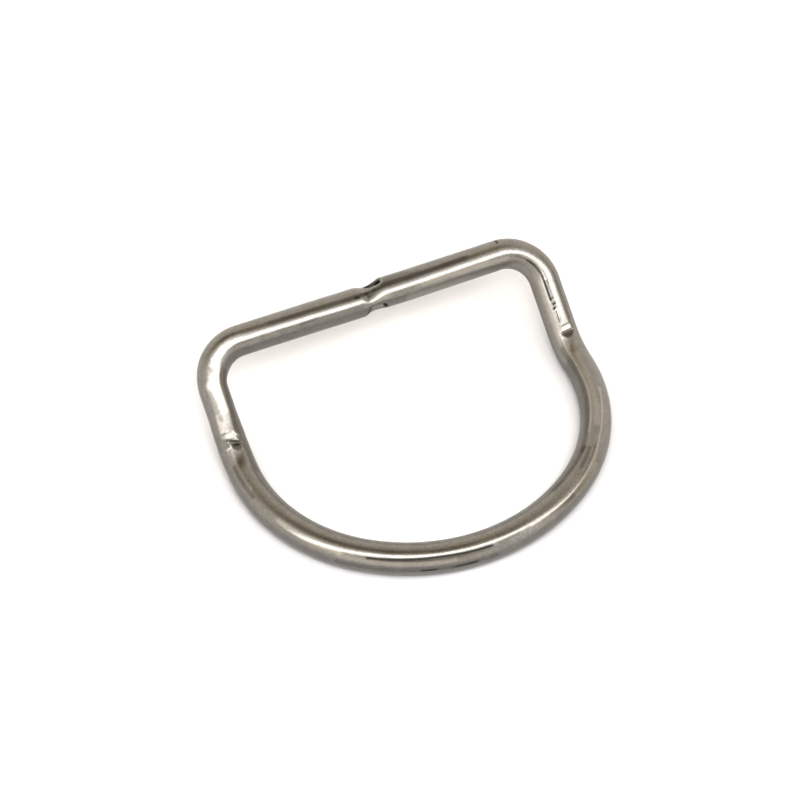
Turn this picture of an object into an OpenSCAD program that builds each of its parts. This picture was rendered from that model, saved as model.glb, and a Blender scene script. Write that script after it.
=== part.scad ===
// Bent D ring of round steel wire, closed by a butt weld in the middle of its straight bar.
// It lies on its round bow. The bar and the two legs rise behind the bow by the bend's angle.
// +X runs along the bar, +Y from the bow's tip towards the bar, +Z up from the surface below it.

/* [Wire] */
// Diameter of the round wire
wire_d = 4.76; // [3.5:0.01:6.5]
// How much fatter in radius the wire is where it is bent over a tool: corners, bends and tip
swell = 0.02; // [0.02:0.01:0.05]
// Length by which each run between them laps into the bent stretch that it joins
lap_l = 0.2; // [0.1:0.05:0.25]

/* [Bar, corners and legs] */
// Inside width between the legs, which takes the webbing
opening_w = 50.8; // [40:0.1:62]
// Inside radius of the corner at each end of the bar
corner_in_r = 3.8; // [2:0.1:8]
// Straight length of each leg, from its corner to its bend
leg_l = 8.1; // [4:0.1:20]

/* [Bend] */
// Angle by which the bar and legs rise from the bow
bend_a = 37.5; // [15:0.5:60]
// Inside radius of the bend in each leg
bend_in_r = 7.1; // [4:0.1:16]

/* [Bow] */
// Inside radius of the bow's two side arcs, where it leaves the legs
side_in_r = 22.7; // [18:0.1:30]
// Angle that each side arc turns through before the flatter tip
side_a = 52; // [20:1:65]

/* [Weld] */
// Length of the weld between the wire's two ends
weld_l = 1.8; // [1:0.1:5]
// Depth of the weld under the wire's surface
weld_sink = 0.28; // [0.1:0.01:0.6]
// Length of the bevel that leads from each end of the wire down to the weld
bevel_l = 0.4; // [0.2:0.05:1]

/* [Tool marks] */
// Depth of the flat that the bending tool pressed along each leg
flat_sink = 0.1; // [0.05:0.01:0.3]
// Length of that flat, measured back from the start of the bend
flat_l = 6.8; // [2:0.1:7.5]
// Radius of the tool's nose, which left a groove across the start of each bend
nose_r = 1.6; // [1:0.1:4]
// Depth of that groove under the flat
nose_sink = 0.16; // [0.05:0.01:0.4]
// Distance of the groove's middle past the start of the bend
nose_past = 0.6; // [0.2:0.1:2]

/* [Hidden] */
$fn = 96;

wire_r = wire_d / 2;
bent_r = wire_r + swell;
weld_r = wire_r - weld_sink;
corner_r = corner_in_r + wire_r;
bend_r = bend_in_r + wire_r;
side_r = side_in_r + wire_r;
half_w = opening_w / 2 + wire_r;
bar_end = half_w - corner_r;
rise_l = leg_l + corner_r;

// The tip's arc runs on from the side arcs, so its radius and centre follow from theirs
tip_r = side_r + (half_w - side_r) / cos(side_a);
tip_up = (tip_r - side_r) * sin(side_a);

// Depths of the raised part and of the bow, from the line where the bends start, to centre the whole
bar_y = bend_r * sin(bend_a) + rise_l * cos(bend_a);
bow_l = tip_r - tip_up;
centre_y = (bar_y - bow_l) / 2;

// The bending tool's marks are cut wider and higher than the wire, so that they cross it
tool_w = 2 * wire_d;

// A stretch of wire bent round the Z axis at centreline radius r, from angle a0 on through angle a
module arc(r, a0, a, section_r) {
    rotate([0, 0, a0]) rotate_extrude(angle = a) translate([r, 0]) circle(r = section_r);
}

// The right side and its mirror image on the left
module both_sides() {
    children();
    mirror([1, 0, 0]) children();
}

// Lifts what stands on the bends, by the bend's angle about the bends' axis
module lifted() {
    translate([0, 0, bend_r]) rotate([bend_a, 0, 0]) translate([0, 0, -bend_r]) children();
}

// The bar is turned round its own axis, with the weld's waist between two bevels in its middle
module bar() {
    end_x = bar_end + lap_l;
    waist_x = weld_l / 2;
    bevel_x = waist_x + bevel_l;
    translate([0, rise_l, 0]) rotate([0, 90, 0]) rotate_extrude() polygon([
        [0, -end_x], [wire_r, -end_x], [wire_r, -bevel_x], [weld_r, -waist_x],
        [weld_r, waist_x], [wire_r, bevel_x], [wire_r, end_x], [0, end_x]
    ]);
}

module corner() {
    translate([bar_end, leg_l, 0]) arc(corner_r, 0, 90, bent_r);
}

// The right leg, from inside its corner to inside its bend
module leg() {
    translate([half_w, -lap_l, 0]) rotate([-90, 0, 0]) cylinder(r = wire_r, h = leg_l + 2 * lap_l);
}

module bend() {
    translate([half_w, 0, bend_r]) rotate([90, 0, 90]) arc(bend_r, -90, bend_a, bent_r);
}

// The right side arc, from inside the tip to inside the bend
module bow_side() {
    lap_a = lap_l / side_r * 180 / PI;
    translate([half_w - side_r, 0, 0]) arc(side_r, -side_a - lap_a, side_a + 2 * lap_a, wire_r);
}

module bow_tip() {
    translate([0, tip_up, 0]) arc(tip_r, side_a - 180, 180 - 2 * side_a, bent_r);
}

// What the bending tool cut from the right leg's upper side: a flat along it, and its nose's groove
module tool_marks() {
    flat_z = wire_r - flat_sink;
    translate([half_w - tool_w / 2, -nose_past, flat_z]) {
        cube([tool_w, nose_past + flat_l, wire_r]);
        translate([0, 0, nose_r - nose_sink]) rotate([0, 90, 0]) cylinder(r = nose_r, h = tool_w);
    }
}

module ring() {
    color([0.55, 0.53, 0.5]) translate([0, -centre_y, bent_r]) difference() {
        union() {
            bow_tip();
            both_sides() {
                bow_side();
                bend();
            }
            lifted() {
                bar();
                both_sides() {
                    corner();
                    leg();
                }
            }
        }
        lifted() both_sides() tool_marks();
    }
}

ring();
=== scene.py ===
# %% [markdown]
# A bent D ring of welded stainless wire, as used at the end of a webbing strap.
# The imported CAD model could be coloured as it is, but its facets are coarse and it has no wear. So it
# serves as the measure: it is loaded first, and its box is kept for the finer ring that this script
# sweeps.

# %% Load the measured frame
from math import cos, pi, radians, sin, tan

import bpy
import numpy as np
from mathutils import Matrix, Vector


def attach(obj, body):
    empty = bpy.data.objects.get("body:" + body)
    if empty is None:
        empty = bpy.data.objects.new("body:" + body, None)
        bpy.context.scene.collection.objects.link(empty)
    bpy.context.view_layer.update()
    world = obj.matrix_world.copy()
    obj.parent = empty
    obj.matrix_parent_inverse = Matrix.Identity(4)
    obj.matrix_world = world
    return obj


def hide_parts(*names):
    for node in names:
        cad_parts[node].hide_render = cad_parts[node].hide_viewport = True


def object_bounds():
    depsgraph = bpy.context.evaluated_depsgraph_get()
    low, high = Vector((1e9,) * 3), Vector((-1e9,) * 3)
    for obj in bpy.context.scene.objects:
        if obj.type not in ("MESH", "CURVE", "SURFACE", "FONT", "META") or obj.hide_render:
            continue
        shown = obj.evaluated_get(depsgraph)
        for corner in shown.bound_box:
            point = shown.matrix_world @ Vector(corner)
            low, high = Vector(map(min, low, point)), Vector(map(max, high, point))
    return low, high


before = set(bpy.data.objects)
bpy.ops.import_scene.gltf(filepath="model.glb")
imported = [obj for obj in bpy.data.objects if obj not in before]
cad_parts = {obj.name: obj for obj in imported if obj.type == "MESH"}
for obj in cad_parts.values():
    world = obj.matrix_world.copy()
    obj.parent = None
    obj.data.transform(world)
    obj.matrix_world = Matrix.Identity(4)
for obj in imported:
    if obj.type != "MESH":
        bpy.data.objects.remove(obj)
cad_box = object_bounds()
MM = 0.001
print("CAD box in mm:", [[round(v / MM, 2) for v in corner] for corner in cad_box])

# %% [markdown]
# Such a ring is cut from drawn wire, formed flat, closed by a butt weld and then bent in a press.
# Its middle line could be traced point by point, but a maker writes only a few sizes on the drawing:
# the wire, the bar for the webbing, the corners, the legs, the bend and the bow. With the same sizes
# here, one changed number changes the whole ring, as it does in the workshop.

# %% Sizes on the drawing, in millimetres and degrees
wire_r = 4.76 / 2
corner_in_r = 3.8
leg_l = 8.1
bend_a = 37.5
bend_in_r = 7.1
side_in_r = 22.7
side_a = 52

half_w = cad_box[1].x / MM - wire_r
corner_r = corner_in_r + wire_r
bend_r = bend_in_r + wire_r
side_r = side_in_r + wire_r
tip_r = side_r + (half_w - side_r) / cos(radians(side_a))
tip_a = 90 - side_a

# Each run of the right half, from the bar's middle to the bow's tip: its length, and how far it turns
half_runs = [
    ("bar", half_w - corner_r, 0),
    ("corner", corner_r * pi / 2, 90),
    ("leg", leg_l, 0),
    ("bend", bend_r * radians(bend_a), 0),
    ("side", side_r * radians(side_a), side_a),
    ("tip", tip_r * radians(tip_a), tip_a),
]
runs = half_runs + half_runs[::-1]
run_ends = np.cumsum([0] + [length for _, length, _ in runs])
headings = np.radians(np.cumsum([0] + [turn for _, _, turn in runs]))
wire_l = run_ends[-1]
print("Length of wire in the ring: %.2f mm" % wire_l)

# %% [markdown]
# A place on the wire is given by two numbers: "along", in mm from the weld towards the right, and
# "around", in degrees from 0 at the outer side, over 90 on top, to 180 at the inner side.
# The flat ring is found by walking along it in small steps, because its heading changes evenly in
# each run. A formula for each arc would do too, but the walk needs no special case for any of them.

# %% Walk along the flat ring
walk_places = 40001
walk = np.linspace(0, wire_l, walk_places)
pace = walk[1]
step_heading = np.interp((walk[1:] + walk[:-1]) / 2, run_ends, headings)
flat_x = np.concatenate([[0], np.cumsum(np.cos(step_heading)) * pace])
flat_back = np.concatenate([[0], -np.cumsum(np.sin(step_heading)) * pace])
bow_start = run_ends[[name for name, _, _ in runs].index("side")]
flat_back -= np.interp(bow_start, walk, flat_back)
print("Flat ring: %.2f mm deep behind the bow, %.2f mm of bow" % (flat_back.max(), -flat_back.min()))

# %% [markdown]
# The press then lifts all that lies behind the bow, over a rounded edge. An armature or a bend
# modifier could do this to a finished mesh, but it would stretch the wire's section. Here the middle
# line is bent before the wire is swept along it, so the section stays round.

# %% Bend the middle line
def bent(back):
    """Depth, height and tilt in radians, after bending, of what lies this far behind the bow."""
    tilt = np.clip(back / bend_r, 0, radians(bend_a))
    rest = back - bend_r * tilt
    depth = bend_r * np.sin(tilt) + rest * np.cos(tilt)
    height = bend_r * (1 - np.cos(tilt)) + rest * np.sin(tilt)
    return depth, height, tilt


centre_depth = (bent(flat_back.max())[0] + bent(flat_back.min())[0]) / 2


def wire_frame(along):
    """The middle line's place, and the outward and upward directions across it, at these places."""
    heading = np.interp(along, run_ends, headings)
    depth, height, tilt = bent(np.interp(along, walk, flat_back))
    place = np.stack([np.interp(along, walk, flat_x), depth - centre_depth, height + wire_r], -1)
    sideways, backward = np.sin(heading), np.cos(heading)
    outward = np.stack([sideways, backward * np.cos(tilt), backward * np.sin(tilt)], -1)
    upward = np.stack([0 * tilt, -np.sin(tilt), np.cos(tilt)], -1)
    return place, outward, upward


bar_place = wire_frame(np.array([0.0]))[0][0]
print("Middle of the bar in mm:", bar_place.round(3))

# %% [markdown]
# The real wire is a die-drawn rod, so its section is a true circle and one sweep makes all of it.
# A curve with a round bevel would do that too, but a Geometry Nodes sweep over a grid keeps the place
# on the wire with every corner of the mesh, and the rings can stand close together where the tools
# left marks and further apart elsewhere. First come the places of the rings, as a mesh of points.

# %% Set the rings along the wire
# From, to and spacing in mm, for one half: the weld, the bar, the corner, the leg and bend, the bow
ring_spacing = [
    (0, 4, 0.06),
    (4, 19, 0.4),
    (19, 30, 0.2),
    (30, 43, 0.1),
    (43, wire_l / 2, 0.36),
]
half_rings = np.concatenate([
    np.linspace(start, end, round((end - start) / spacing), endpoint=False)
    for start, end, spacing in ring_spacing
])
ring_places = np.concatenate([half_rings, [wire_l / 2], (wire_l - half_rings)[::-1]])

places, outwards, upwards = wire_frame(ring_places)
route_mesh = bpy.data.meshes.new("route")
route_mesh.from_pydata((places * MM).tolist(), [], [])
for name, values in (("outward", outwards), ("upward", upwards)):
    layer = route_mesh.attributes.new(name, "FLOAT_VECTOR", "POINT")
    layer.data.foreach_set("vector", values.ravel())
route_mesh.attributes.new("along", "FLOAT", "POINT").data.foreach_set("value", ring_places)
print("Rings along the wire:", len(ring_places))

# %% [markdown]
# Both the finish and the sweep are trees of nodes. Their nodes could be placed and linked one by one,
# but then the settings drown in bookkeeping. One helper adds a node, and a few short ones name the
# nodes that come back again and again, so that a tree reads like a sum.

# %% Helpers that add a node with its settings and links
def add(tree, kind, inputs=None, **settings):
    """Adds a node. A value that is another node's output socket is linked, and any other is set."""
    made = tree.nodes.new(kind)
    for name, value in settings.items():
        setattr(made, name, value)
    for key, value in (inputs or {}).items():
        if isinstance(value, bpy.types.NodeSocket):
            tree.links.new(value, made.inputs[key])
        else:
            made.inputs[key].default_value = value
    return made


def maths(tree, operation, *values, **settings):
    """The result of an operation on numbers."""
    made = add(tree, "ShaderNodeMath", dict(enumerate(values)), operation=operation, **settings)
    return made.outputs[0]


def vector_maths(tree, operation, *values):
    """The result of an operation on vectors. A length or a dot product comes out as a number."""
    made = add(tree, "ShaderNodeVectorMath", dict(enumerate(values)), operation=operation)
    return made.outputs["Value" if operation in ("LENGTH", "DOT_PRODUCT") else "Vector"]


def mixed(tree, share, a, b, kind="FLOAT"):
    """This share of b and the rest of a, as numbers, or as colours where the kind is RGBA."""
    return add(tree, "ShaderNodeMix", {"Factor": share, "A": a, "B": b}, data_type=kind).outputs["Result"]


def ranged(tree, value, low, high, to_low=0.0, to_high=1.0, **settings):
    """Carries the range from low to high over to another range, and holds its ends."""
    limits = {"From Min": low, "From Max": high, "To Min": to_low, "To Max": to_high}
    return add(tree, "ShaderNodeMapRange", {"Value": value, **limits}, **settings).outputs["Result"]


def linear(hex_colour):
    """An sRGB hex colour as linear red, green, blue and alpha."""
    parts = [int(hex_colour[i:i + 2], 16) / 255 for i in (1, 3, 5)]
    return [p / 12.92 if p <= 0.04045 else ((p + 0.055) / 1.055) ** 2.4 for p in parts] + [1]


print("Middle grey #808080 as linear light: %.3f" % linear("#808080")[0])

# %% [markdown]
# The finish comes before the sweep, because the sweep's last node sets the material.
# The real one is austenitic stainless wire, tumbled satin after welding: bright, slightly warm and
# a little blurred, with fine lines along the wire that the drawing die left. The lines could be a
# stretched image, but a pattern worked out from the place on the wire has no seam and no end. A metal
# shows itself by what it reflects, so the colour stays plain and the detail goes into the roughness
# and a very low bump.

# %% Draw and tumble the wire's surface
steel_dark, steel_light = "#656360", "#a29f9b"
grain_share = 0.65
smoothest, roughest = 0.19, 0.27
inner_roughness = 0.16
line_depth = 0.008 * MM


def place_on_rod(tree):
    """The spot in mm on the wire as if pulled straight, and its angle's cosine, 1 at the outer side."""
    pair = add(tree, "ShaderNodeUVMap", uv_map="wire").outputs["UV"]
    split = add(tree, "ShaderNodeSeparateXYZ", {0: pair}).outputs
    angle = maths(tree, "MULTIPLY", split["Y"], 2 * pi)
    cosine = maths(tree, "COSINE", angle)
    sine = maths(tree, "SINE", angle)
    unit = add(tree, "ShaderNodeCombineXYZ", {"X": split["X"], "Y": cosine, "Z": sine}).outputs[0]
    return vector_maths(tree, "MULTIPLY", unit, (1, wire_r, wire_r)), cosine


def noise(tree, place_mm, per_mm, detail, roughness, along=1):
    """A cloudy pattern with so many lumps to the mm, and this share of that number along the wire."""
    place = vector_maths(tree, "MULTIPLY", place_mm, (along, 1, 1))
    inputs = {"Vector": place, "Scale": per_mm, "Detail": detail, "Roughness": roughness}
    return add(tree, "ShaderNodeTexNoise", inputs).outputs["Fac"]


def satin(tree):
    """The colour, roughness and normal of drawn and tumbled wire."""
    rod_mm, cosine = place_on_rod(tree)
    # Real drawn lines are 0.02 to 0.05 mm apart. These are 0.3 mm, so that the camera can see them
    lines = noise(tree, rod_mm, 3.5, 3, 0.6, along=0.06)
    # Tumbling leaves faint patches about 2 mm across, over a peened grain of about a quarter of a mm
    patches = noise(tree, rod_mm, 0.45, 4, 0.6)
    grain = noise(tree, rod_mm, 4.2, 2, 0.7, along=0.6)
    both = mixed(tree, grain_share, patches, grain)
    colour = mixed(tree, both, linear(steel_dark), linear(steel_light), "RGBA")
    # The tumbling stones reach the ring's inner side less, so it stays rougher
    rough = ranged(tree, lines, 0.3, 0.7, smoothest, roughest)
    inner = ranged(tree, cosine, -0.25, -0.7, 0, inner_roughness)
    bump = add(tree, "ShaderNodeBump", {"Height": lines, "Strength": 0.5, "Distance": line_depth})
    return colour, maths(tree, "ADD", rough, inner), bump.outputs["Normal"]


print("Roughness from %.2f to %.2f outside, and %.2f more inside" % (smoothest, roughest, inner_roughness))

# %% [markdown]
# Where the press's tools rubbed the wire it is burnished, and where they bit into it grime stays in
# the marks. The same number also paints light and shade: lighter for painted highlights and brighter
# mirror images, darker for painted shade in pits, notches and cracks and over dim mirror images.
# Painted masks could say where, but the marks are worked into the mesh further down, and that step
# also stores how worn, lit or shaded each vertex is. The material only reads that number.

# %% Stainless wire, drawn, tumbled satin and worn, with painted light and shade
# Burnish and painted highlights share the light colour, tool dirt and painted shade the dark one
burnish_and_highlight_colour, grime_and_shade_colour = "#c2beb6", "#1f1c17"
dark_mark_roughness = 0.5


def with_wear_and_painted_light(tree, colour, rough):
    """Colour and roughness, lighter for burnish and painted highlights, darker for dirt and painted shade."""
    wear_and_light = add(tree, "ShaderNodeAttribute", attribute_name="wear_and_painted_light").outputs["Fac"]
    burnish_and_highlight_share = maths(tree, "MULTIPLY", wear_and_light, 1, use_clamp=True)
    grime_and_shade_share = maths(tree, "MULTIPLY", wear_and_light, -1, use_clamp=True)
    burnished_and_highlighted = mixed(tree, burnish_and_highlight_share, colour, linear(burnish_and_highlight_colour), "RGBA")
    grimy_and_shaded = mixed(tree, grime_and_shade_share, burnished_and_highlighted, linear(grime_and_shade_colour), "RGBA")
    return grimy_and_shaded, mixed(tree, grime_and_shade_share, rough, dark_mark_roughness)


def stainless_material():
    """Satin stainless steel. Its patterns lie on the straightened wire, in millimetres."""
    material = bpy.data.materials.new("stainless_wire_tumbled_satin")
    material.use_nodes = True
    tree = material.node_tree
    tree.nodes.clear()
    colour, rough, normal = satin(tree)
    colour, rough = with_wear_and_painted_light(tree, colour, rough)
    shader = add(
        tree, "ShaderNodeBsdfPrincipled",
        {"Base Color": colour, "Metallic": 1.0, "Roughness": rough, "Normal": normal},
    )
    add(tree, "ShaderNodeOutputMaterial", {"Surface": shader.outputs[0]})
    return material


stainless = stainless_material()
print("Material:", stainless.name, "with", len(stainless.node_tree.nodes), "nodes")

# %% [markdown]
# The sweep starts from a flat grid with a row of points for each ring and a column for each step
# round the wire. Each point looks up its own ring on the route and moves to its place on the circle
# there. The last column lies on the first one and the last row on the first, and merging them closes
# the wire. The places are stored on the faces' corners before that, so that they don't average.

# %% Number the grid's points
def whole(tree, operation, *values):
    """The result of an operation on whole numbers."""
    return add(tree, "FunctionNodeIntegerMath", dict(enumerate(values)), operation=operation).outputs[0]


def ring_grid(tree, given):
    """The grid, and for each of its points the ring and the share of a turn that it belongs to."""
    rings = add(tree, "GeometryNodeAttributeDomainSize", {0: given["Route"]}).outputs["Point Count"]
    columns = whole(tree, "ADD", given["Steps"], 1)
    grid = add(
        tree, "GeometryNodeMeshGrid",
        {"Size X": 1.0, "Size Y": 1.0, "Vertices X": rings, "Vertices Y": columns},
    )
    index = add(tree, "GeometryNodeInputIndex").outputs[0]
    ring = whole(tree, "DIVIDE_FLOOR", index, columns)
    step = whole(tree, "MODULO", index, columns)
    return grid.outputs["Mesh"], ring, maths(tree, "DIVIDE", step, given["Steps"])


def at_ring(tree, given, ring, name, kind):
    """A value of the route at each grid point's own ring."""
    if name == "position":
        value = add(tree, "GeometryNodeInputPosition").outputs[0]
    else:
        value = add(tree, "GeometryNodeInputNamedAttribute", {"Name": name}, data_type=kind).outputs[0]
    inputs = {"Geometry": given["Route"], "Value": value, "Index": ring}
    return add(tree, "GeometryNodeSampleIndex", inputs, data_type=kind).outputs[0]


# %% Lay the grid round the wire
def move_to_circles(tree, given, grid, ring, turn):
    """Moves each point of the grid to its place on the circle of its ring."""
    angle = maths(tree, "MULTIPLY", turn, 2 * pi)
    reaches = []
    for name, share in (("outward", "COSINE"), ("upward", "SINE")):
        direction = at_ring(tree, given, ring, name, "FLOAT_VECTOR")
        length = maths(tree, "MULTIPLY", maths(tree, share, angle), given["Radius"])
        scaled = add(tree, "ShaderNodeVectorMath", {0: direction, "Scale": length}, operation="SCALE")
        reaches.append(scaled.outputs[0])
    offset = vector_maths(tree, "ADD", *reaches)
    place = vector_maths(tree, "ADD", at_ring(tree, given, ring, "position", "FLOAT_VECTOR"), offset)
    return add(tree, "GeometryNodeSetPosition", {"Geometry": grid, "Position": place}).outputs[0]


def store_places(tree, given, tube, ring, turn):
    """Stores the place along and the share of a turn on the faces' corners."""
    along = at_ring(tree, given, ring, "along", "FLOAT")
    pair = add(tree, "ShaderNodeCombineXYZ", {"X": along, "Y": turn}).outputs[0]
    on_points = add(
        tree, "GeometryNodeFieldOnDomain", {"Value": pair}, data_type="FLOAT_VECTOR", domain="POINT",
    )
    return add(
        tree, "GeometryNodeStoreNamedAttribute",
        {"Geometry": tube, "Name": "wire", "Value": on_points.outputs[0]},
        data_type="FLOAT2", domain="CORNER",
    ).outputs[0]


# %% Put the sweep tree together
def sweep_tree():
    """A tree that turns a route of points into a closed round wire with its places stored on it."""
    tree = bpy.data.node_groups.new("wire_sweep", "GeometryNodeTree")
    sockets = [
        ("Route", "NodeSocketGeometry"),
        ("Radius", "NodeSocketFloat"),
        ("Steps", "NodeSocketInt"),
        ("Merge distance", "NodeSocketFloat"),
        ("Finish", "NodeSocketMaterial"),
    ]
    for name, kind in sockets:
        tree.interface.new_socket(name, in_out="INPUT", socket_type=kind)
    tree.interface.new_socket("Wire", in_out="OUTPUT", socket_type="NodeSocketGeometry")
    given = add(tree, "NodeGroupInput").outputs

    grid, ring, turn = ring_grid(tree, given)
    tube = store_places(tree, given, move_to_circles(tree, given, grid, ring, turn), ring, turn)
    merging = {"Geometry": tube, "Distance": given["Merge distance"]}
    merged = add(tree, "GeometryNodeMergeByDistance", merging).outputs[0]
    turned = add(tree, "GeometryNodeFlipFaces", {0: merged}).outputs[0]
    smooth = add(tree, "GeometryNodeSetShadeSmooth", {"Geometry": turned, "Shade Smooth": True}).outputs[0]
    realized = add(tree, "GeometryNodeRealizeInstances", {0: smooth}).outputs[0]
    finished = add(tree, "GeometryNodeSetMaterial", {"Geometry": realized, "Material": given["Finish"]})
    add(tree, "NodeGroupOutput", {0: finished.outputs[0]})
    return tree


wire_sweep = sweep_tree()
print("Sweep tree:", len(wire_sweep.nodes), "nodes")

# %% [markdown]
# The tree could stay on the object as a live modifier, but the marks that follow are worked into the
# vertices themselves. So the modifier's result is read once as a plain mesh, and the modifier goes.

# %% Sweep the wire
steps_round = 112
merge_distance = 0.001 * MM


def swept(name, mesh, tree, values):
    """A plain mesh object made by the tree from a mesh, with the tree's inputs set by identifier."""
    source = bpy.data.objects.new(name + "_route", mesh)
    bpy.context.scene.collection.objects.link(source)
    modifier = source.modifiers.new("sweep", "NODES")
    modifier.node_group = tree
    identifiers = {s.name: s.identifier for s in tree.interface.items_tree if s.in_out == "INPUT"}
    for label, value in values.items():
        modifier[identifiers[label]] = value
    evaluated = source.evaluated_get(bpy.context.evaluated_depsgraph_get())
    made = bpy.data.meshes.new_from_object(evaluated)
    source.modifiers.remove(modifier)
    bpy.data.objects.remove(source)
    made.name = name
    piece = bpy.data.objects.new(name, made)
    bpy.context.scene.collection.objects.link(piece)
    return piece


ring = swept(
    "wire_ring", route_mesh, wire_sweep,
    {"Radius": wire_r * MM, "Steps": steps_round, "Merge distance": merge_distance, "Finish": stainless},
)
print("Wire:", len(ring.data.vertices), "vertices,", len(ring.data.polygons), "faces")

# %% [markdown]
# The press and the welder left marks that the eye finds at once: a waist between the two ends of
# the wire, a dent across the start of each bend, a scraped strip on one leg and creases along the bow.
# Each could be a bump in the material, but a mark that a finger can feel belongs in the mesh. For that,
# each vertex needs its place on the wire, which the sweep stored with the faces' corners.

# %% Read each vertex's place on the wire
mesh = ring.data
count = len(mesh.vertices)
corner_vertex = np.empty(len(mesh.loops), np.int32)
mesh.loops.foreach_get("vertex_index", corner_vertex)
corner_place = np.empty(2 * len(mesh.loops), np.float32)
mesh.attributes["wire"].data.foreach_get("vector", corner_place)
along, turn = np.zeros((2, count))
along[corner_vertex] = corner_place[0::2]
turn[corner_vertex] = corner_place[1::2]
angle = 2 * pi * turn

# Marks are placed by their distance from the weld, with a minus sign where it runs to the left
from_weld = np.where(along < wire_l / 2, along, along - wire_l)
spot = np.stack([from_weld, wire_r * angle], 1)
section = wire_r * np.stack([np.cos(angle), np.sin(angle)], 1)
# Wear for each vertex, which also carries painted highlights above 0 and painted shade below 0
wear_and_painted_light = np.zeros(count)
print("Vertices within 5 mm of the weld:", (np.abs(from_weld) < 5).sum())

# %% [markdown]
# The marks could be sculpted by hand, but then nobody could move one. So each is worked in as it was
# made, by one of three tools: jaws squeeze the wire out of round, a flat face pushes its surface down
# to a level, and the slip of an edge follows a short line and leaves a groove, a ridge or only a
# change of colour. That colour is grime and burnish in some strokes, and painted shade and painted
# highlights in many others.

# %% Three tools that mark the wire
RIGHT, LEFT = 1, -1


def profiled(profile, at):
    """A value for each vertex, from rows of a place along the wire and the value there."""
    places, values = np.array(profile, float).T
    return np.interp(at, places, values)


def squeeze_round(side, fattest, profile):
    """Squeezes the wire out of round. It gets fatter by so many mm where it faces this way and the
    way behind, and thinner between them. The profile gives the mm at each distance from the weld."""
    fatter = profiled(profile, side * from_weld)
    section[:] *= (1 + fatter / wire_r * np.cos(2 * (angle - radians(fattest))))[:, None]


def press(side, facing, profile, skew=0.0, edge=0.012):
    """Pushes the wire down to a flat tool that faces this way round it. The profile gives how deep
    the tool stood under the round surface at each distance from the weld. A skewed tool bit that much
    further along for each mm round the wire. The edge says how soft the rim of the flat is, in mm."""
    depth = profiled(profile, side * from_weld - skew * wire_r * (angle - radians(facing)))
    toward_tool = np.array([cos(radians(facing)), sin(radians(facing))])
    excess = section @ toward_tool - (wire_r - depth)
    pushed = edge * np.logaddexp(0, excess / edge)
    section[:] -= pushed[:, None] * toward_tool


def stroke(side, points, width, rise, wear_and_light):
    """Raises the surface by rise mm, or sinks it if that is below 0, along a line of points.
    A point is its distance from the weld and its angle round the wire. The last number makes the
    surface there lighter above 0 and darker below it: some lighter strokes are burnish and others
    painted highlights, some darker ones tool dirt and others painted shade."""
    line = [np.array([side * a, wire_r * radians(b)]) for a, b in points]
    distance = np.hypot(*(spot - line[0]).T)
    for start, end in zip(line[:-1], line[1:]):
        reach = end - start
        share = np.clip((spot - start) @ reach / (reach @ reach), 0, 1)
        distance = np.minimum(distance, np.hypot(*(spot - start - share[:, None] * reach).T))
    outward_here = np.stack([np.cos(angle), np.sin(angle)], 1)
    section[:] += (rise * np.exp(-(distance / width) ** 2))[:, None] * outward_here
    wear_and_painted_light[:] += wear_and_light * np.exp(-(distance / width) ** 4)


print("Section before any mark: radius %.2f mm" % np.hypot(*section.T).mean())

# %% [markdown]
# A butt welder grips the two ends in jaws, pushes them together and melts them. That leaves the bar
# slightly squeezed and out of line, and a waist where the molten metal drew in. A plain groove turned
# round the bar could stand for it, as in the CAD model, but here each side of the waist has a profile
# of its own: the outer flank, the top, the inner side and the underside.

# %% Close the weld
squeeze_round(RIGHT, 142, [(-18, 0), (-9, 0.065), (-3, 0.1), (3, 0.1), (9, 0.065), (18, 0)])
# How far outwards the wire's two ends stand, in mm, at each distance from the weld
out_of_line = [(-20, 0), (-16, -0.05), (-10, -0.1), (-4, -0.2), (-0.7, -0.22), (2.1, 0.08), (6, 0)]
section[:, 0] += profiled(out_of_line, from_weld)


def smooth_step(low, high, value):
    """0 at low, 1 at high and an even S between them, whichever of the two is larger."""
    t = np.clip((value - low) / (high - low), 0, 1)
    return t * t * (3 - 2 * t)


# Each waist's depth in mm at each distance from the weld, and where round the wire it applies
flank_waist = profiled([(-2.3, 0), (-1.7, 0.12), (-0.9, 0.42), (0.2, 0.46), (1.2, 0.26), (2.2, 0)], from_weld)
top_waist = profiled([(-1.8, 0), (-0.95, 0.33), (-0.1, 0.24), (0.6, 0.14), (1.5, 0.04), (2.3, 0)], from_weld)
inner_waist = profiled([
    (-1.5, 0), (-1.38, 0.05), (-0.75, 0.34), (0.2, 0.38), (1.2, 0.22), (1.9, 0.05), (2.1, 0),
], from_weld)
under_depth = 0.25
under_waist = under_depth * smooth_step(1.5, 0.6, np.abs(from_weld))

degrees_from_outer = np.degrees(np.abs((angle + pi) % (2 * pi) - pi))
on_top = smooth_step(40, 75, degrees_from_outer)
outer_side = smooth_step(118, 75, degrees_from_outer)
inner_side = smooth_step(120, 138, degrees_from_outer)
under_side = smooth_step(0.2, 0.9, -np.sin(angle))
outer_waist = flank_waist * (1 - on_top) + top_waist * on_top
waist = outer_waist * outer_side + inner_waist * inner_side + under_waist * under_side
section *= (1 - waist / wire_r)[:, None]
print("The weld's waist is %.2f mm deep at most" % waist.max())
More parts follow.
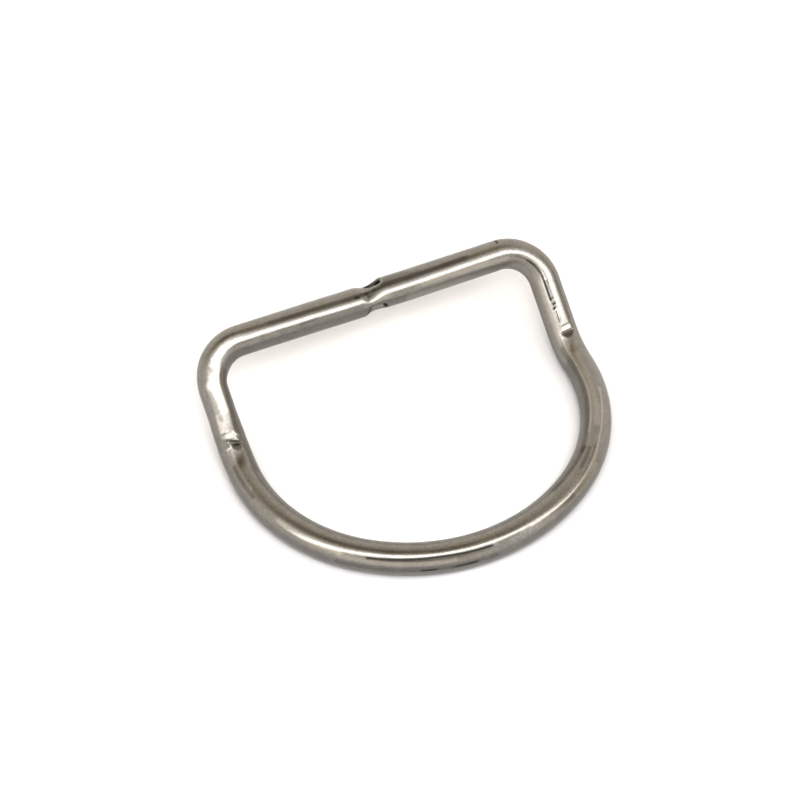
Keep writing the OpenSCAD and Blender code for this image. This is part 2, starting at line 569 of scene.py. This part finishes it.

# %% [markdown]
# The weld was never cleaned up. Its notches, crack and pits are painted dark as their shade, one small
# bead is painted bright beside them as its highlight, and a darker band is painted along the bar on
# both sides of it, as shade over the dim ceiling that the wire mirrors there. They could be carved one
# after another in code, but as the rows of a table each can be moved or taken out without touching
# the rest.

# %% Mark the weld and the bar
# Side, points along in mm and round in degrees, width and rise in mm, wear with painted light and shade
weld_marks = [
    # Dark rows paint shade into the notches, crack and pits, light rows paint the bead's highlight and
    # lighter strips
    (RIGHT, [(-0.45, 18), (0.3, 32), (1.2, 38), (1.75, 38)], 0.30, -0.12, -0.6),
    (RIGHT, [(1.3, 37), (1.8, 39)], 0.25, 0, -0.5),
    (RIGHT, [(0.1, 14), (1.7, 25)], 0.42, 0, -0.7),
    # These two paint shade over the dim band above the highlight
    (RIGHT, [(-0.9, 62), (-0.2, 63)], 0.36, 0, -0.2),
    (RIGHT, [(-1.6, 66), (0.2, 66)], 0.42, 0, -0.3),
    (RIGHT, [(2.36, 38), (1.95, 55), (1.35, 63), (0.7, 54)], 0.13, 0.05, 0.25),
    (RIGHT, [(-0.7, 129), (-1.15, 145), (-1.4, 160), (-1.45, 176)], 0.16, -0.14, -0.85),
    (RIGHT, [(1.55, 143), (1.8, 157)], 0.30, -0.12, -0.9),
    (RIGHT, [(-0.45, 125), (0.3, 128), (1.3, 134)], 0.10, -0.03, -0.5),
    (RIGHT, [(-0.4, 142), (1.1, 146)], 0.30, 0, 0.25),
    (RIGHT, [(0.5, 109), (2.5, 109)], 0.50, 0, 0.15),
    (LEFT, [(2.3, 74), (2.8, 73)], 0.22, -0.02, -0.5),
    (LEFT, [(1.4, 106), (0.8, 110)], 0.25, 0, -0.25),
]
bar_marks = [
    # The first two rows paint shade over the dim band above the highlight; the next two darken the outer side
    # near the weld
    (RIGHT, [(0.6, 66), (6, 66), (16, 65)], 0.45, 0, -0.5),
    (LEFT, [(1.0, 70), (6, 71), (17, 67)], 0.42, 0, -0.36),
    (RIGHT, [(2.5, 50), (8, 50)], 0.40, 0, -0.22),
    (RIGHT, [(2.5, 33), (6.5, 33)], 0.40, 0, -0.18),
    # Painted shade below the highlight on the left, and a lighter band painted below it on the right
    (LEFT, [(2.5, 113), (15, 112)], 0.45, 0, -0.13),
    (RIGHT, [(8, 108), (16, 112), (22.5, 117)], 0.42, 0, 0.22),
    (LEFT, [(9.5, 104), (12.5, 107)], 0.14, -0.008, -0.3),
    (LEFT, [(13.5, 130)], 0.14, -0.01, -0.4),
]
for mark in weld_marks + bar_marks:
    stroke(*mark)
print("Marks at the weld:", len(weld_marks), "and along the bar:", len(bar_marks))

# %% [markdown]
# To bend the ring, a press held the legs and drove its nose into the start of each bend. The nose bit
# in and left a step, and the jaws flattened the left corner and squeezed the leg below it. A boolean
# cut could make these flats, but it would leave hard edges and break up the clean rows of faces. The
# press tool moves the same vertices and leaves the rim of each flat a little soft, as cold steel does.

# %% Press the legs
press(RIGHT, 88.5, [
    (35.5, -0.02), (38.8, 0.05), (38.9, 0.11), (39.85, 0.135), (39.95, 0.29), (40.1, 0.31), (41.7, -0.03),
], skew=0.15)
press(LEFT, 92, [
    (38.85, -0.05), (38.95, 0.05), (39.25, 0.06), (39.35, 0.26), (39.5, 0.30), (41.5, -0.03),
], skew=0.4)
press(LEFT, 82, [(18, -0.12), (21, -0.02), (24, 0.07), (28, 0.11), (29.8, -0.1)], edge=0.08)
press(LEFT, 91, [
    (22.5, -0.1), (26.5, 0.05), (28.5, 0.08), (32, 0.06), (35, 0.05), (38, -0.03),
], edge=0.04)
press(LEFT, 86, [(34.5, -0.03), (37.5, 0.05), (39, 0.05), (39.4, -0.1)], edge=0.04)
squeeze_round(LEFT, 38, [(20.5, 0), (24.5, 0.12), (26.5, 0.12), (29.5, 0)])
squeeze_round(LEFT, 75, [(27, 0), (30, 0.14), (35, 0.14), (38, 0)])
squeeze_round(LEFT, 45, [(34.8, 0), (37.7, 0.22), (38.7, 0.22), (40.2, 0)])
on_legs = (np.abs(from_weld) > 19) & (np.abs(from_weld) < 43)
print("Thinnest place on the legs: %.2f mm from the middle" % np.hypot(*section[on_legs].T).min())

# %% [markdown]
# The press slipped along the right leg, which scraped a strip with a dark edge and a few chatter
# marks across it. The steps' facets are painted bright as their highlights and their pits painted
# dark as their shade, and a few long strokes paint light and shade onto what the legs mirror. A
# pattern of random scratches would be quicker to make, but only single strokes can lie where the
# photograph shows each of them.

# %% Scrape the legs
# Side, points along in mm and round in degrees, width and rise in mm, wear with painted light and shade
leg_marks = [
    (RIGHT, [(24.6, 101), (27, 99), (31, 99), (32, 99)], 0.09, -0.012, -0.25),
    (RIGHT, [(31.5, 106), (35.8, 106)], 0.28, 0, -0.45),
    (RIGHT, [(29.5, 99), (38.2, 99)], 0.10, -0.015, -0.2),
    (RIGHT, [(26.3, 110), (28, 112), (31, 113), (34.6, 113)], 0.12, -0.05, -0.9),
    (RIGHT, [(24.3, 108), (26.3, 110)], 0.08, -0.01, -0.3),
    (RIGHT, [(31, 105), (37.5, 104)], 0.08, 0.01, 0.25),
    (RIGHT, [(36.4, 106), (37.2, 107), (38.3, 110)], 0.09, -0.02, -0.35),
    (RIGHT, [(34.3, 101), (34.4, 108)], 0.10, -0.02, -0.45),
    (RIGHT, [(35.2, 101), (35.3, 109)], 0.12, -0.03, -0.6),
    (RIGHT, [(35.9, 106), (36.1, 113)], 0.13, -0.03, -0.7),
    (RIGHT, [(28.5, 122), (33, 121), (41, 121)], 0.13, 0.01, 0.12),
    (RIGHT, [(36.6, 106.5), (38.4, 105)], 0.09, -0.015, -0.5),
    # Painted shade beside the right leg's highlight
    (RIGHT, [(28, 68), (38, 68)], 0.40, 0, -0.15),
    (RIGHT, [(21.8, 28), (21.8, 44)], 0.16, -0.06, -0.9),
    # The right step: a painted highlight on its facet, then painted shade in its pit
    (RIGHT, [(39.35, 80), (39.35, 98)], 0.38, 0, 0.4),
    (RIGHT, [(40.45, 76), (40.5, 101)], 0.55, 0, -0.35),
    (RIGHT, [(41.0, 82), (41.1, 96)], 0.35, 0, -0.35),
    # Painted light on the right side's inner face, and on the bend where it mirrors the dim ceiling
    (RIGHT, [(6, 148), (24, 152), (45, 152)], 0.90, 0, 0.25),
    (RIGHT, [(43.0, 90), (43.5, 100)], 0.80, 0, 0.2),
    # The left step: painted highlights on its facet, then painted shade in its pit and below it
    (LEFT, [(38.1, 102), (38.7, 116)], 0.14, 0.05, 0.4),
    (LEFT, [(38.5, 103), (38.65, 116)], 0.14, 0.03, 0.3),
    (LEFT, [(39.5, 80), (39.85, 100)], 0.60, 0, -0.55),
    (LEFT, [(40.15, 85), (40.25, 96)], 0.42, -0.02, -0.38),
    (LEFT, [(40.9, 68), (41.5, 80)], 0.55, 0, -0.32),
    # Painted shade on the left leg's inner side, then a dull patch on its outer side
    (LEFT, [(28, 135), (30, 134), (34, 121), (38, 119), (42, 126), (46, 128)], 0.45, 0, -0.25),
    (LEFT, [(31.2, 60), (33, 66), (35.6, 70)], 0.42, 0, -0.22),
]
for mark in leg_marks:
    stroke(*mark)
print("Marks on the legs:", len(leg_marks))

# %% [markdown]
# The bow's die left faint creases where its halves met. Their glints are painted bright as highlights
# and the dark lines beside them painted as shade, and longer strokes paint light and shade onto what
# the bow mirrors, as the darker line along its highlight. Two small dark specks near the tip are dirt.
# The creases are nearly flat, so colour alone could stand for them, but the highlight breaks where it
# crosses one. They run along the wire for centimetres and wander a little, which is why each has
# several points.

# %% Crease the bow
# Side, points along in mm and round in degrees, width and rise in mm, wear with painted light and shade
bow_marks = [
    # Creases with painted glints, and dark lines beside them painted as shade
    (RIGHT, [(41, 121), (50, 120), (53, 114), (62, 112)], 0.16, 0.012, 0.3),
    (RIGHT, [(53, 70), (62, 70), (66, 63), (70, 57), (75, 53), (82, 53)], 0.16, 0.012, 0.3),
    (RIGHT, [(64, 74), (66, 70), (70, 66)], 0.14, -0.012, -0.3),
    (RIGHT, [(65, 92), (67, 88), (69, 86)], 0.3, -0.008, -0.3),
    (LEFT, [(41, 68), (45, 67), (49.5, 68)], 0.2, 0.012, 0.15),
    (LEFT, [(49, 68)], 0.18, 0.02, 0.5),
    (LEFT, [(44, 54), (47, 53), (50.5, 54)], 0.3, -0.01, -0.3),
    # Painted shade along the left bow's highlight, where the wire mirrors the dark photographer
    (LEFT, [(70, 46), (75, 49.5), (80, 53), (87.5, 50)], 0.19, -0.012, -0.85),
    (RIGHT, [(87.5, 50), (84, 52)], 0.15, -0.008, -0.3),
    # Painted light and shade on parts of the bow that mirror brighter or dimmer parts of the room
    (LEFT, [(56, 54), (60, 50), (66, 45)], 0.45, 0, 0.3),
    (LEFT, [(66, 8), (88, 8)], 0.50, 0, -0.2),
    (LEFT, [(66, 36), (82, 35)], 0.40, 0, 0.2),
    (RIGHT, [(65, 111), (75, 114)], 0.38, 0, -0.32),
    (RIGHT, [(43, 103), (52, 102), (60, 87)], 0.50, 0, 0.18),
    (RIGHT, [(67, 44), (73, 42)], 0.35, 0, 0.25),
    (RIGHT, [(43, 138), (47, 136), (52, 131), (60, 126), (66, 114)], 0.42, 0, -0.25),
    (LEFT, [(77.5, 4), (79.5, 5)], 0.2, -0.02, -0.6),
    (LEFT, [(82, 4), (85, 6)], 0.22, -0.02, -0.55),
]
for mark in bow_marks:
    stroke(*mark)
print("Marks on the bow:", len(bow_marks))

# %% [markdown]
# So far the marks only changed each vertex's place in the wire's own flat section. They could be
# worked on the bent wire instead, but each would then have to know which way the wire runs there.
# Now every section goes back on the bent middle line, and the wear with its painted light and shade
# is stored for the material.

# %% Set the worked surface back on the wire
centre, outward, upward = wire_frame(along)
worked = centre + section[:, :1] * outward + section[:, 1:] * upward
mesh.vertices.foreach_set("co", (worked * MM).astype(np.float32).ravel())
# Wear, with painted highlights above 0 and painted shade below 0
wear_and_light_layer = mesh.attributes.new("wear_and_painted_light", "FLOAT", "POINT")
wear_and_light_layer.data.foreach_set("value", np.clip(wear_and_painted_light, -1, 1).astype(np.float32))
mesh.update()
print("Lowest point in mm: %.3f, top: %.3f" % (worked[:, 2].min(), worked[:, 2].max()))

# %% [markdown]
# The ring lies on white paper. Fibres could be added to it, but none show in the photograph, so a matt
# square is enough, with its edges outside the picture. Its colour is painted shade near the ring, a
# little greyer to keep the shadows and the paper's mirror image in the wire as deep as they are there,
# and painted light further off, paler where the lamp's light falls away.

# %% Lay the floor
# Half the sheet's width, and the distances from its middle between which it gets paler, in metres
paper_half = 0.4
near_distance, far_distance = 0.03, 0.11
# Paper colour near the ring is painted shade, and further off painted light
paper_near_painted_shade, paper_far_painted_light = "#c3c3c5", "#e4e4e8"


def floor_material():
    """Matt white paper, painted greyer near the ring as shade and paler further off as light.
    It gives the eye a plain pale ground with soft shadows.
    """
    material = bpy.data.materials.new("matt_white_paper")
    material.use_nodes = True
    tree = material.node_tree
    place = add(tree, "ShaderNodeTexCoord").outputs["Object"]
    far = ranged(tree, vector_maths(tree, "LENGTH", place), near_distance, far_distance)
    colour = mixed(tree, far, linear(paper_near_painted_shade), linear(paper_far_painted_light), "RGBA")
    shader = tree.nodes["Principled BSDF"]
    tree.links.new(colour, shader.inputs["Base Color"])
    shader.inputs["Roughness"].default_value = 1.0
    shader.inputs["Specular IOR Level"].default_value = 0.0
    return material


paper = bpy.data.meshes.new("paper_floor")
paper_corners = [(paper_half * x, paper_half * y, 0) for x, y in ((-1, -1), (1, -1), (1, 1), (-1, 1))]
paper.from_pydata(paper_corners, [], [(0, 1, 2, 3)])
paper.materials.append(floor_material())
floor = bpy.data.objects.new("paper_floor", paper)
bpy.context.scene.collection.objects.link(floor)
print("Paper: %.1f m wide" % (2 * paper_half))

# %% [markdown]
# The camera stands where the photographer's stood. It could be set by eye, but a small error in its
# height changes how far the bend seems to rise. So its angles, its distance and its lens were found
# by fitting the drawing's middle line to the photograph, together with the sizes above.

# %% Place the camera
camera_azimuth = radians(-24.341)
camera_elevation = radians(49.788)
camera_distance = 350.271 * MM
camera_aim = Vector((-1.489, 7.003, 4.875)) * MM
frame_px = 801
focal_px = 2297.64
sensor_mm = 36

right = Vector((cos(camera_azimuth), sin(camera_azimuth), 0))
back = Vector((
    sin(camera_azimuth) * cos(camera_elevation),
    -cos(camera_azimuth) * cos(camera_elevation),
    sin(camera_elevation),
))
up = back.cross(right)
camera_data = bpy.data.cameras.new("camera")
camera_data.sensor_fit = "VERTICAL"
camera_data.sensor_height = sensor_mm
camera_data.lens = focal_px / frame_px * sensor_mm
camera_data.clip_start = 0.01
camera = bpy.data.objects.new("camera", camera_data)
camera_turn = Matrix((right, up, back)).transposed().to_4x4()
camera.matrix_world = Matrix.Translation(camera_aim + back * camera_distance) @ camera_turn
bpy.context.scene.collection.objects.link(camera)
bpy.context.scene.camera = camera
print("Lens: %.0f mm on a %d mm high sensor" % (camera_data.lens, sensor_mm))

# %% [markdown]
# On polished wire the lamp is seen as its mirror image: one bright line along the top. A far lamp
# would make that line the same width everywhere. On the real ring it is wide on the left corner and
# fades out along the bow, so the lamp is a long soft box close to the ring, just above the line to
# the camera. It is hidden from the camera itself.

# %% Aim and hang a lamp
def toward(side_degrees, up_degrees):
    """The direction that lies this far to the right of the camera and above it, seen from the ring."""
    return (back + right * tan(radians(side_degrees)) + up * tan(radians(up_degrees))).normalized()


def hang(name, lamp, direction, distance, turn=Matrix.Identity(4)):
    """Hangs a lamp this far from the ring, facing it and then turned, out of the camera's sight."""
    upright = direction.cross(right).normalized()
    facing = Matrix((upright.cross(direction), upright, direction)).transposed().to_4x4()
    made = bpy.data.objects.new(name, lamp)
    made.matrix_world = Matrix.Translation(camera_aim + direction * distance) @ facing @ turn
    made.visible_camera = False
    bpy.context.scene.collection.objects.link(made)
    return made


print("Straight above the camera by 12 degrees:", [round(v, 3) for v in toward(0, 12)])

# %% Hang the soft box
# Right of the camera's line and above it in degrees, and the distance and size in metres
box_side, box_up = 4, 12
box_distance = 0.174
box_w, box_h = 0.82, 0.088
box_roll, box_lean = radians(17), radians(16)
box_strength = 3.5
full_until = 0.4

box_lamp = bpy.data.lights.new("soft_box", "AREA")
box_lamp.shape = "RECTANGLE"
box_lamp.size, box_lamp.size_y = box_w, box_h
# The power follows the area, so that the size and the brightness can be changed apart
box_lamp.energy = pi * box_w * box_h
box_lamp.use_nodes = True
tree = box_lamp.node_tree
tree.nodes.clear()
# The cloth front is brightest in its middle and fades out in an oval
spot_on_box = add(tree, "ShaderNodeNewGeometry").outputs["Parametric"]
centred = vector_maths(tree, "MULTIPLY_ADD", spot_on_box, (2, 2, 0), (-1, -1, 0))
from_middle = vector_maths(tree, "LENGTH", centred)
fade = ranged(tree, from_middle, full_until, 1.0, box_strength, 0, interpolation_type="SMOOTHSTEP")
cloth = add(tree, "ShaderNodeEmission", {"Color": (1, 1, 1, 1), "Strength": fade})
add(tree, "ShaderNodeOutputLight", {"Surface": cloth.outputs[0]})
box_turn = Matrix.Rotation(box_roll, 4, "Z") @ Matrix.Rotation(box_lean, 4, "X")
soft_box = hang("soft_box", box_lamp, toward(box_side, box_up), box_distance, box_turn)
print("Soft box at, in m:", [round(v, 3) for v in soft_box.matrix_world.translation])

# %% [markdown]
# One lamp alone leaves the paper's shadows darker than in the photograph. A studio sets a white
# reflector beside the camera against that. Here it is a small disk that lights the paper but is left
# out of mirror images, because the photograph shows none of it on the wire.

# %% Hang a reflector beside the camera
reflector_side, reflector_up = 4, 5
reflector_distance = 0.35
reflector_size = 0.12
reflector_strength = 18

reflector_lamp = bpy.data.lights.new("reflector", "AREA")
reflector_lamp.shape = "DISK"
reflector_lamp.size = reflector_size
reflector_area = pi / 4 * reflector_size ** 2
reflector_lamp.energy = reflector_strength * pi * reflector_area
reflector = hang("reflector", reflector_lamp, toward(reflector_side, reflector_up), reflector_distance)
reflector.visible_glossy = False
print("Reflector: %.2f W" % reflector_lamp.energy)

# %% [markdown]
# Everything else that the wire mirrors is the room: pale walls, a dim ceiling, the dark figure of the
# photographer and a doorway. A photographed panorama would hold them, but only as another file. The
# wire shows them so small and so squeezed together that soft ovals on a white world are enough.
# Each oval is placed in degrees to the right of the camera and above it, with its half size.

# %% Describe the room
# Right, up, half width and half height in degrees
ceiling_oval = (-6, 53, 33, 18)
photographer_oval = (9, -10, 22, 8)
doorway_oval = (77, 30, 22, 13)
glow_oval = (8, 17, 36, 16)
side_wall_oval = (58, -3, 26, 12)

wall_front, wall_behind = 1.75, 1.66
ceiling_radiance = 0.48
photographer_radiance = 0.1
doorway_radiance = 0.65
glow_radiance = 1.0
side_wall_radiance = 0.55

# A dim part of the room is as warm as this, and a bright one white
dim_tint, bright_tint = "#ffefcf", "#ffffff"
dim_radiance, bright_radiance = 0.4, 2.2


def oval(tree, direction, side_degrees, up_degrees, width, height):
    """1 in the middle of the oval, fading smoothly to 0 outside it."""
    centre = toward(side_degrees, up_degrees)
    across = up.cross(centre).normalized()
    axes = (across, centre.cross(across), centre)
    seen = [vector_maths(tree, "DOT_PRODUCT", direction, axis) for axis in axes]
    place = add(tree, "ShaderNodeCombineXYZ", dict(enumerate(seen))).outputs[0]
    away = vector_maths(tree, "SUBTRACT", place, (0, 0, 1))
    scaled = vector_maths(tree, "MULTIPLY", away, (1 / sin(radians(width)), 1 / sin(radians(height)), 1))
    return maths(tree, "POWER", 1 / np.e, vector_maths(tree, "DOT_PRODUCT", scaled, scaled))


print("Ceiling oval points to", [round(v, 2) for v in toward(*ceiling_oval[:2])])

# %% [markdown]
# Dark things are mixed over the walls, because they hide them, and bright ones are added, because
# they are light that falls on top: the glow round the soft box, and the white wall close to the right.

# %% Light the room
world = bpy.data.worlds.new("white_room")
world.use_nodes = True
tree = world.node_tree
tree.nodes.clear()
direction = add(tree, "ShaderNodeTexCoord").outputs["Generated"]
depth = add(tree, "ShaderNodeSeparateXYZ", {0: direction}).outputs["Y"]
radiance = ranged(tree, depth, -0.7, 0.7, wall_front, wall_behind)
dark_parts = [
    (ceiling_oval, ceiling_radiance),
    (photographer_oval, photographer_radiance),
    (doorway_oval, doorway_radiance),
]
for place, level in dark_parts:
    radiance = mixed(tree, oval(tree, direction, *place), radiance, level)
for place, level in ((glow_oval, glow_radiance), (side_wall_oval, side_wall_radiance)):
    radiance = maths(tree, "MULTIPLY_ADD", oval(tree, direction, *place), level, radiance)

whiteness = ranged(tree, radiance, dim_radiance, bright_radiance)
tint = mixed(tree, whiteness, linear(dim_tint), linear(bright_tint), "RGBA")
light = add(tree, "ShaderNodeBackground", {"Color": tint, "Strength": radiance})
add(tree, "ShaderNodeOutputWorld", {"Surface": light.outputs[0]})
bpy.context.scene.world = world
print("Room:", len(tree.nodes), "nodes")

# %% [markdown]
# The photograph is more contrasty than plain sRGB, as product pictures are. Its maker may have used
# curves. Here one number does it: light is raised to the power of the contrast.

# %% Develop the picture
contrast = 1.4
settings = bpy.context.scene.view_settings
settings.view_transform = "Standard"
settings.look = "None"
settings.gamma = 1 / contrast
print("Gamma: %.3f" % settings.gamma)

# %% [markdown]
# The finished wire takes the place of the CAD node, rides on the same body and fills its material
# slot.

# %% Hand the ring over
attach(ring, "root")
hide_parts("ring")
